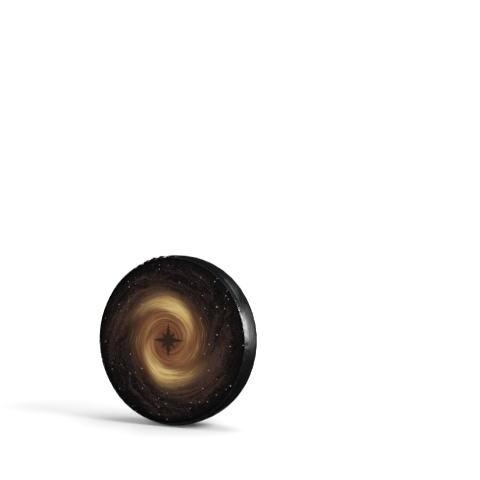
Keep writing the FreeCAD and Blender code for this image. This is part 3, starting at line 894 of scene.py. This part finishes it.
def simulate_skirt():
    """The cut strip is wider than the mouth. The hem draws it in round the tyre, and it gathers."""
    th = around(COLS)
    s = np.linspace(0, LENGTH, ROWS)
    t = s / LENGTH
    wave = gather_wave(th)[None, :]
    # as cut: a slightly tapered tube that stands back from the tyre, already a little uneven
    r0 = START[0] - 0.27 * s
    y0 = START[1] + 0.963 * s
    bumps = 2.4 * MM * (t**0.8)[:, None] * (wave + 0.35 * ripple(th, 36, 95, 62)[None, :] * np.sin(3.0 * t)[:, None])
    r_start = r0[:, None] + bumps
    y_start = y0[:, None] + 0 * th[None, :]
    dr, dy = field(np.array([[START[0]]]), np.array([[START[1]]]), th[None, :])
    hold = np.exp(-((s / 0.012) ** 2))[:, None]
    r_start, y_start = r_start + dr * hold, y_start + dy * hold
    # where the pinned rows end up
    r_end, y_end = skirt_plain(s)
    held = np.zeros(ROWS)
    held[-1], held[-2] = 0.35 * MM, 0.9 * MM
    r_goal = r_end[:, None] + dr * hold + 0 * th
    y_goal = y_end[:, None] + dy * hold + held[:, None] * wave
    co = np.stack([r_start * np.cos(th), y_start, r_start * np.sin(th)], -1).reshape(-1, 3)
    goal = np.stack([r_goal * np.cos(th), y_goal, r_goal * np.sin(th)], -1).reshape(-1, 3)
    quads = loop_quads(ROWS, COLS, 0, False, True)
    ob = add_mesh("skirt_sim", co, quads)
    # the normals of an open strip: any side will do for the solver
    pins = ob.vertex_groups.new(name="pins")
    pins.add([int(i) for i in np.concatenate([np.arange(COLS), np.arange((ROWS - 2) * COLS, ROWS * COLS)])], 1.0, "REPLACE")
    ob.shape_key_add(name="Basis")
    key = ob.shape_key_add(name="drawn_in")
    key.data.foreach_set("co", goal.astype(np.float32).ravel())
    frames, settle = 30, 8
    key.value = 0.0
    key.keyframe_insert("value", frame=1)
    key.value = 1.0
    key.keyframe_insert("value", frame=frames)
    # the tyre, which the cloth may not enter
    prof = []
    for u in np.linspace(-0.012, LENGTH + 0.004, 26):
        if u < 0:
            prof.append((START[0] - 0.0016 - 0.20 * u, START[1] + u))
        else:
            r, y = skirt_plain(np.array(u))
            a = REAR_END + min(u, BEND_MID * (math.pi / 2 - REAR_END)) / BEND_MID
            prof.append((float(r) - 0.0016 * math.cos(a), float(y) - 0.0016 * math.sin(a)))
    prof += [(0.262, 0.060), (0.300, 0.020), (0.372, 0.030)]
    tyre_co = np.array([[[r * math.cos(a), y, r * math.sin(a)] for a in around(240)] for r, y in prof])
    tyre = add_mesh("tyre_sim", tyre_co.reshape(-1, 3), loop_quads(len(prof), 240))
    tyre.modifiers.new("Collision", "COLLISION")
    tyre.collision.thickness_outer = 0.0006
    tyre.collision.cloth_friction = 2.0
    mod = ob.modifiers.new("Cloth", "CLOTH")
    c = mod.settings
    c.quality = 5
    c.mass = 0.12
    c.air_damping = 2.0
    c.tension_stiffness = c.compression_stiffness = 60.0
    c.shear_stiffness = 18.0
    c.bending_stiffness = 900.0
    c.tension_damping = c.compression_damping = 8.0
    c.shear_damping = 6.0
    c.bending_damping = 1.0
    c.vertex_group_mass = "pins"
    c.effector_weights.gravity = 0.0
    mod.collision_settings.distance_min = 0.0006
    mod.collision_settings.collision_quality = 2
    mod.collision_settings.use_self_collision = False
    mod.point_cache.frame_start, mod.point_cache.frame_end = 1, frames + settle
    scene = bpy.context.scene
    for f in range(1, frames + settle + 1):
        scene.frame_set(f)
    dg = bpy.context.evaluated_depsgraph_get()
    e = ob.evaluated_get(dg)
    out = np.zeros(len(co) * 3, np.float32)
    e.data.vertices.foreach_get("co", out)
    scene.frame_set(1)
    for o in (ob, tyre):
        me = o.data
        bpy.data.objects.remove(o)
        bpy.data.meshes.remove(me)
    for act in list(bpy.data.actions):
        bpy.data.actions.remove(act)
    return out.reshape(ROWS, COLS, 3).astype(float)


def sample_columns(grid, n):
    """The grid's rows, resampled round the cover at n angles by smooth interpolation."""
    m = grid.shape[1]
    f = np.fft.rfft(grid, axis=1)
    out = np.zeros((grid.shape[0], n // 2 + 1, 3), complex)
    k = min(f.shape[1], out.shape[1])
    out[:, :k] = f[:, :k]
    return np.fft.irfft(out, n=n, axis=1) * (n / m)


def row_normals(g):
    """Unit normals of a grid that closes round its columns, on the outer side."""
    du = np.roll(g, -1, 1) - np.roll(g, 1, 1)
    dv = np.gradient(g, axis=0)
    n = np.cross(du, dv)
    n /= np.linalg.norm(n, axis=2)[..., None] + 1e-12
    if (n[..., 1]).mean() < 0:
        n = -n
    return n


def shell_from(name, g, thick, materials):
    """A closed cloth from its middle surface, a grid that closes round its columns."""
    n = row_normals(g)
    rows, cols = g.shape[:2]
    outer, inner = g + n * thick / 2, g - n * thick / 2
    co = np.concatenate([outer.reshape(-1, 3), inner.reshape(-1, 3)])
    k = rows * cols
    q = loop_quads(rows, cols, 0, False, True)
    j = np.arange(cols)
    j2 = (j + 1) % cols
    last = (rows - 1) * cols
    e0 = np.stack([j2, j, k + j, k + j2], 1)
    e1 = np.stack([last + j, last + j2, k + last + j2, k + last + j], 1)
    faces = np.concatenate([q, q[:, ::-1] + k, e0, e1])
    index = np.concatenate([np.zeros(len(q), int), np.ones(len(q), int), np.zeros(len(e0) + len(e1), int)])
    return add_mesh(name, co, faces, index=index, materials=materials)


class Cloth:
    """The skirt's middle surface, to be read at any distance s along it and any angles th."""

    def __init__(self, grid):
        a0 = math.asin((LAP_Y - RS_C[1]) / LAP_MID)
        th, lap, s = around(COLS), [], []
        for a in np.linspace(a0, REAR_END - 0.035, 6):
            r, y = RS_C[0] + LAP_MID * math.cos(a), RS_C[1] + LAP_MID * math.sin(a)
            lap.append(place(np.full(COLS, r), np.full(COLS, y), th))
            s.append(-(REAR_END - a) * LAP_MID)
        full = np.concatenate([np.array(lap), grid])
        self.s = np.concatenate([s, np.linspace(0, LENGTH, ROWS)])
        self.n = COLS * 10
        # as radius, height and angle, so that the cloth may also lean round the cover
        rad, ang = np.hypot(full[..., 0], full[..., 2]), np.arctan2(full[..., 2], full[..., 0])
        lean = (ang - th + math.pi) % TAU - math.pi
        self.rows = sample_columns(np.stack([rad, full[..., 1], lean], -1), self.n)
        self.normals = row_normals(self.points(self.s, around(self.n)))

    def look(self, table, s, th):
        th = np.asarray(th, float) % TAU
        x = th / TAU * self.n
        i = np.floor(x).astype(int) % self.n
        f = (x - np.floor(x))[:, None]
        out = []
        for v in np.atleast_1d(s):
            k = int(np.clip(np.searchsorted(self.s, v) - 1, 0, len(self.s) - 2))
            t = (v - self.s[k]) / (self.s[k + 1] - self.s[k])
            # Catmull-Rom between rows
            rows = [table[min(max(k + d, 0), len(self.s) - 1)] for d in (-1, 0, 1, 2)]
            w = (-0.5 * t + t * t - 0.5 * t**3, 1 - 2.5 * t * t + 1.5 * t**3, 0.5 * t + 2 * t * t - 1.5 * t**3, -0.5 * t * t + 0.5 * t**3)
            row = sum(a * b for a, b in zip(w, rows))
            out.append(row[i] * (1 - f) + row[(i + 1) % self.n] * f)
        return np.array(out)

    def points(self, s, th):
        v = self.look(self.rows, s, th)
        a = th + v[..., 2]
        return np.stack([v[..., 0] * np.cos(a), v[..., 1], v[..., 0] * np.sin(a)], -1)

    def offset(self, s, th, d):
        n = self.look(self.normals, s, th)
        n /= np.linalg.norm(n, axis=-1)[..., None]
        return self.points(s, th) + n * np.asarray(d, float)


def skirt_angles():
    d = np.array([-8, -6, -4.5, -3.2, -2.2, -1.4, -0.8, -0.4, 0, 0.4, 0.8, 1.4, 2.2, 3.2, 4.5, 6, 8]) * MM / 0.31
    base = around(912)
    keep = np.abs((base - JOIN + math.pi) % TAU - math.pi) > 9.5 * MM / 0.31
    return np.sort(np.concatenate([base[keep], (JOIN + d) % TAU]))


def skirt_join_shape(th, s):
    d = ((th - JOIN + math.pi) % TAU - math.pi) * 0.31 / MM
    fade = ease(np.asarray(s, float), 0.0, 0.006)[:, None]
    return (fade * (-0.8 * MM * np.exp(-((d / 0.6) ** 2)) + 0.45 * MM * np.exp(-(((np.abs(d) - 4.0) / 2.6) ** 2)))[None, :])[..., None]


def build_skirt(cloth):
    th = skirt_angles()
    s = np.concatenate([cloth.s[:6], np.linspace(0, LENGTH, 2 * ROWS - 1)])
    mid = cloth.offset(s, th, skirt_join_shape(th, s))
    ob = shell_from("rear_skirt_cloth", mid, 1.0 * MM, [M_SKIRT, M_LINING])
    put(ob, "mouth", ["rear_skirt"])
    return ob


def build_rear_seam_tape(cloth):
    th = around(720)
    s = np.concatenate([np.linspace(cloth.s[0] + 0.001, 0, 6), [0.0028, 0.0056, 0.0080]])
    mid = cloth.offset(s, th, -0.82 * MM)
    ob = shell_from("rear_seam_tape_cloth", mid, 0.45 * MM, [M_TAPE])
    put(ob, "mouth", ["rear_seam_tape"])


def gathers(th):
    """How the hem bunches along its cord: rounded ridges with tight valleys, uneven in width."""
    wave = gather_wave(th)
    ridge = 0.5 + 0.5 * np.tanh(1.1 * wave)
    size = 0.80 + 0.22 * ripple(th, 20, 60, 83)
    small = np.abs(np.cos(131 * th + 2.2 * ripple(th, 10, 50, 84))) ** 0.8
    return np.clip(ridge * size * 1.15 + 0.26 * small, 0, 1.6)


def build_hem(cloth):
    th = around(1440)
    g = gathers(th)
    g2 = gathers(th + 0.021)
    twist = ripple(th, 16, 44, 85)
    w = 0.9 * MM
    lip = lambda s: float(LENGTH - s)
    # outer section, from the tip of the lip on the outside, round the cord, to the tip on the tyre's side
    r_in, c = MOUTH_R + 0.0001, 0.0031
    rows = []

    def ring(r, y, gr=0.0, gy=0.0):
        rr = r + gr * 2.2 * MM * g + 0.45 * MM * twist * abs(gr)
        yy = y + gy * 2.3 * MM * (g if gy > 0 else g2) + 0.35 * MM * twist * gy
        rows.append(np.stack([rr * np.cos(th), yy, rr * np.sin(th)], -1))

    def lip_row(dist, off):
        rows.append(cloth.offset([LENGTH - dist], th, (off[:, None] if np.ndim(off) else off))[0])

    step = 0.12 * MM * (g - 0.5)
    lip_row(0.0098, 0.55 * MM + 0.02 * MM + 0 * g)
    lip_row(0.0101, 1.05 * MM + step)
    lip_row(0.0094, 1.50 * MM + step)
    lip_row(0.0072, 1.50 * MM + 2 * step)
    lip_row(0.0058, 1.28 * MM + step)  # the stitches pull the cloth down here
    lip_row(0.0046, 1.30 * MM + step)
    lip_row(0.0030, 1.75 * MM + 4 * step)
    ring(0.2803, HEM_Y1 - 0.0016, 0, 0.30)
    ring(0.2778, HEM_Y1 - 0.0004, 0, 0.85)
    ring(0.2745, HEM_Y1, 0, 1)
    ring(0.2705, HEM_Y1, 0, 1)
    for a in np.radians([96, 120, 150, 180, 210, 240, 264]):
        ring(r_in + c + c * math.cos(a), 0.0805 + (0.0041 if True else c) * math.sin(a), 0.9 * math.cos(a), 0.95 * math.sin(a))
    ring(0.2705, HEM_Y0, 0, -1)
    ring(0.2745, HEM_Y0, 0, -1)
    ring(0.2778, HEM_Y0 + 0.0004, 0, -0.85)
    ring(0.2803, HEM_Y0 + 0.0016, 0, -0.30)
    lip_row(0.0030, -1.75 * MM - 3 * step)
    lip_row(0.0046, -1.30 * MM - step)
    lip_row(0.0058, -1.28 * MM - step)
    lip_row(0.0072, -1.50 * MM - step)
    lip_row(0.0094, -1.50 * MM - step)
    lip_row(0.0101, -1.05 * MM - step)
    lip_row(0.0098, -0.57 * MM + 0 * g)
    outer_n = len(rows)
    # inner section, back along the skirt's tyre side, round the hollow, to the skirt's outside
    for d in (0.0072, 0.0046, 0.0020, 0.0002):
        lip_row(d, -0.57 * MM + 0 * g)
    for r, y in ((0.2789, 0.07955), (0.2789, HEM_Y0 + w), (0.2740, HEM_Y0 + w), (0.2700, HEM_Y0 + w), (0.2660, HEM_Y0 + w), (0.26350, HEM_Y0 + w + 0.0002), (0.26302, HEM_Y0 + w + 0.0008), (0.26300, 0.0805), (0.26302, HEM_Y1 - w - 0.0008), (0.26350, HEM_Y1 - w - 0.0002), (0.2660, HEM_Y1 - w), (0.2700, HEM_Y1 - w), (0.2740, HEM_Y1 - w), (0.2789, HEM_Y1 - w), (0.2789, 0.08145)):
        ring(r, y)
    for d in (0.0002, 0.0020, 0.0046, 0.0072):
        lip_row(d, 0.57 * MM + 0 * g)
    co = np.array(rows)
    index = np.where(np.arange(len(rows)) < outer_n, 0, 1)
    ob = add_mesh("hem_casing_cloth", co.reshape(-1, 3), loop_quads(len(rows), len(th)), index=np.repeat(index, len(th)), materials=[M_HEM, M_LINING])
    put(ob, "mouth", ["hem_casing"])
    # stitches through both lips
    packs = []
    for side, seed in ((1, 91), (-1, 92)):
        rng = np.random.default_rng(seed)
        n = 470
        a = (np.arange(n) + rng.uniform(-0.07, 0.07, n)) * TAU / n
        gg = np.interp(a % TAU, np.append(th, TAU), np.append(g, g[0]))
        off = side * (1.34 * MM + 0.12 * MM * (gg - 0.5))
        cpts = cloth.offset([LENGTH - 0.0052], a, off[:, None])[0]
        fwd = cloth.points([LENGTH - 0.0052], a + 0.002)[0] - cloth.points([LENGTH - 0.0052], a - 0.002)[0]
        fwd /= np.linalg.norm(fwd, axis=1)[:, None]
        nrm = cloth.offset([LENGTH - 0.0052], a, side * MM)[0] - cloth.points([LENGTH - 0.0052], a)[0]
        nrm /= np.linalg.norm(nrm, axis=1)[:, None]
        nrm -= fwd * (nrm * fwd).sum(1)[:, None]
        nrm /= np.linalg.norm(nrm, axis=1)[:, None]
        packs.append((cpts, fwd, nrm))
    cc, tt, nn = (np.concatenate(x) for x in zip(*packs))
    st = stitches("hem_thread", cc, tt, nn, 3.0 * MM, 0.38 * MM, M_THREAD)
    put(st, "mouth", ["hem_stitching"])
    return ob


def build_skirt_join_thread(cloth):
    packs = []
    for side, seed in ((-1, 95), (1, 96)):
        rng = np.random.default_rng(seed)
        s = np.arange(0.0500, LENGTH - 0.0125, 4.0 * MM)
        pts, fwd, nrm = [], [], []
        for v in s:
            rad = 0.36 - v * 0.6
            a = np.array([JOIN + side * (3.0 * MM + rng.normal(0, 0.06 * MM)) / rad])
            lift = skirt_join_shape(a, [v])[0]
            p = cloth.offset([v], a, lift + 0.62 * MM)[0, 0]
            q = cloth.offset([v + 0.001], a, lift + 0.62 * MM)[0, 0] - cloth.offset([v - 0.001], a, lift + 0.62 * MM)[0, 0]
            m = cloth.offset([v], a, MM)[0, 0] - cloth.points([v], a)[0, 0]
            q /= np.linalg.norm(q)
            m -= q * (m * q).sum()
            m /= np.linalg.norm(m)
            pts.append(p)
            fwd.append(q)
            nrm.append(m)
        packs.append((np.array(pts), np.array(fwd), np.array(nrm)))
    cc, tt, nn = (np.concatenate(x) for x in zip(*packs))
    st = stitches("skirt_join_thread", cc, tt, nn, 3.3 * MM, 0.38 * MM, M_THREAD)
    put(st, "mouth", ["skirt_join_stitching"])


CLOTH = Cloth(simulate_skirt())
skirt = build_skirt(CLOTH)
build_rear_seam_tape(CLOTH)
hem = build_hem(CLOTH)
build_skirt_join_thread(CLOTH)


# ---- the shock cord and its crimp, as the CAD holds them -----------------------------------------
def braid_look():
    """A braided cover over rubber: two sets of yarns that cross, black with a paler tracer."""
    g = Graph("elastic_braid", (0.03, 0.03, 0.031, 1), Roughness=0.72, Specular_IOR_Level=0.35, Sheen_Weight=0.2)
    x, y, z, rad, c, s = polar(g)
    run = g.m("ARCTAN2", z, x) * 0.2666
    turn = g.m("ARCTAN2", y - 0.0805, rad - 0.2666) * 0.0025
    a, b = run + turn * 1.6, run - turn * 1.6
    ka, kb = g.sin(a * (math.pi / 0.0016)), g.sin(b * (math.pi / 0.0016))
    h = g.m("ABSOLUTE", ka) * 0.5 + g.m("ABSOLUTE", kb) * 0.5 + ka * kb * 0.35
    tracer = g.step(g.cos(a * (TAU / 0.0128)), 0.80, 0.92) * g.step(h, 0.35, 0.6)
    fuzz = g.noise(g.object_coords, 1500.0, 2.0, 0.6)
    colour = g.mix(g.clamp(h * 0.8), (0.009, 0.009, 0.0095, 1), (0.042, 0.042, 0.044, 1))
    colour = g.mix(tracer, colour, (0.20, 0.19, 0.17, 1))
    return g.out(Base_Color=colour, Roughness=g.clamp(0.62 + fuzz * 0.2), Normal=g.bump(h + fuzz * 0.2, 0.0004, 0.7))


def steel_look():
    """Zinc-plated steel, pressed flat: fine scratches and a dull yellow cast in the hollows."""
    g = Graph("crimp_zinc", (0.62, 0.61, 0.58, 1), Metallic=1.0, Roughness=0.34)
    g.place()
    scratch = g.noise(g.vec(0, 0, 0) if False else g.object_coords, 700.0, 3.0, 0.7)
    patch = g.noise(g.object_coords, 120.0, 3.0)
    colour = g.mix(g.clamp(patch * 1.2 - 0.2), (0.66, 0.65, 0.63, 1), (0.46, 0.43, 0.37, 1))
    return g.out(Base_Color=colour, Roughness=g.clamp(0.26 + scratch * 0.25), Normal=g.bump(scratch, 0.0002, 0.4))


def dress(node, material):
    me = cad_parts[node].data
    me.materials.clear()
    me.materials.append(material)


dress("elastic_cord", braid_look())
dress("elastic_crimp", steel_look())

# the band and what is sewn to it each get a copy of their mesh
for name in ("side_band_cloth", "band_join_tape_cloth", "band_join_thread", "rear_seam_thread"):
    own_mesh(bpy.data.objects[name])


# ---- floor, light, world ------------------------------------------------------------------------
def make_floor():
    """A pale floor that brightens to white away from the object, like a lit studio sweep."""
    n = 40.0
    me = bpy.data.meshes.new("floor")
    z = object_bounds()[0][2] - 0.0002
    me.from_pydata([(-n, -n, z), (n, -n, z), (n, n, z), (-n, n, z)], [], [(0, 1, 2, 3)])
    ob = bpy.data.objects.new("floor", me)
    bpy.context.scene.collection.objects.link(ob)
    g = Graph("floor_pale", (0.86, 0.86, 0.86, 1), Roughness=0.9, Specular_IOR_Level=0.0)
    px, py, pz = g.place()
    v = g.noise(g.object_coords, 1.5, 3.0)
    far = g.step(g.m("SQRT", px * px + py * py), 0.8, 2.6)
    me.materials.append(g.out(Base_Color=g.mix(v, (0.84, 0.84, 0.84, 1), (0.88, 0.88, 0.88, 1)), Emission_Color=(1, 1, 1, 1), Emission_Strength=0.03 + far * 1.2))
    ob.visible_glossy = False
    ob.visible_diffuse = False


def softbox(name, at, to, size, power, tint=(1, 1, 1), glossy=True, diffuse=True, spread=180.0):
    light = bpy.data.lights.new(name, "AREA")
    light.shape, light.size, light.size_y = "RECTANGLE", size[0], size[1]
    light.energy, light.color = power, tint
    light.spread = math.radians(spread)
    ob = bpy.data.objects.new(name, light)
    bpy.context.scene.collection.objects.link(ob)
    ob.location = at
    d = Vector(to) - Vector(at)
    ob.rotation_euler = d.to_track_quat("-Z", "Y").to_euler()
    ob.visible_glossy, ob.visible_diffuse = glossy, diffuse
    ob.visible_camera = False
    return ob


def flagged(light, names):
    """Keeps a strong light off everything but these pieces, as a flag on a stand would."""
    group = bpy.data.collections.new(light.name + "_lit")
    for name in names:
        group.objects.link(bpy.data.objects[name])
    light.light_linking.receiver_collection = group


def make_world():
    w = bpy.data.worlds.new("studio")
    bpy.context.scene.world = w
    w.use_nodes = True
    t = w.node_tree
    bg = next(n for n in t.nodes if n.type == "BACKGROUND")
    lp = t.nodes.new("ShaderNodeLightPath")

    def pick(ray, no, yes):
        mix = t.nodes.new("ShaderNodeMix")
        mix.data_type = "FLOAT"
        t.links.new(lp.outputs[ray], mix.inputs[0])
        if isinstance(no, float):
            mix.inputs[2].default_value = no
        else:
            t.links.new(no, mix.inputs[2])
        mix.inputs[3].default_value = yes
        return mix.outputs[0]

    strength = pick("Is Glossy Ray", pick("Is Camera Ray", 0.40, 1.06), 0.018)
    t.links.new(strength, bg.inputs["Strength"])
    bg.inputs["Color"].default_value = (1, 1, 1, 1)


make_floor()
make_world()
# the boxes whose reflections run down the band at the right, brightest beside the seam
seam_light = softbox("seam_light", (2.02, -1.10, 0.56), (0.38, -0.07, 0.05), (0.50, 0.90), 125.0, diffuse=False)
shoulder_light = softbox("shoulder_light", (2.55, 0.20, 0.49), (0.38, -0.05, 0.05), (1.5, 0.90), 72.0, diffuse=False)
softbox("band_light", (2.10, 1.40, 0.36), (0.38, -0.05, 0.05), (0.9, 1.05), 20.0, diffuse=False)
softbox("band_light_side", (1.60, 1.98, 0.30), (0.38, -0.02, 0.05), (0.60, 1.2), 3.5, diffuse=False)
for light in (seam_light, shoulder_light):
    flagged(light, ["side_band_cloth", "piping_cloth"])
# a dim broad one for the band's upper right
softbox("band_top_light", (1.5, 1.9, 2.0), (0.25, 0.0, 0.28), (1.2, 0.8), 7.0, diffuse=False)
# two broad dim ones behind the object, for the gathers round the mouth
softbox("rear_light", (-2.6, 2.2, 1.4), (0.0, 0.0, 0.0), (1.6, 1.6), 34.0)
softbox("rear_side_light", (-3.0, 0.5, 0.6), (0.0, 0.0, 0.0), (1.4, 2.0), 6.0, diffuse=False)
# one for the band's far side, which the main view doesn't show
left_light = softbox("left_light", (-2.4, -2.2, 0.9), (-0.3, 0.0, 0.0), (1.2, 1.4), 11.0, diffuse=False)
flagged(left_light, ["side_band_cloth", "rear_skirt_cloth", "hem_casing_cloth"])
softbox("top_light", (0.3, 0.3, 3.0), (0.0, 0.0, 0.0), (2.4, 2.4), 54.0, glossy=False)
softbox("key_light", (2.35, -0.45, 1.5), (0.0, 0.0, -0.2), (1.2, 1.2), 58.0, glossy=False)
softbox("front_fill", (0.4, -3.6, 0.9), (0.0, 0.0, 0.0), (2.0, 1.6), 50.0, glossy=False)

bpy.context.scene.view_settings.view_transform = "Standard"
bpy.context.scene.view_settings.look = "None"
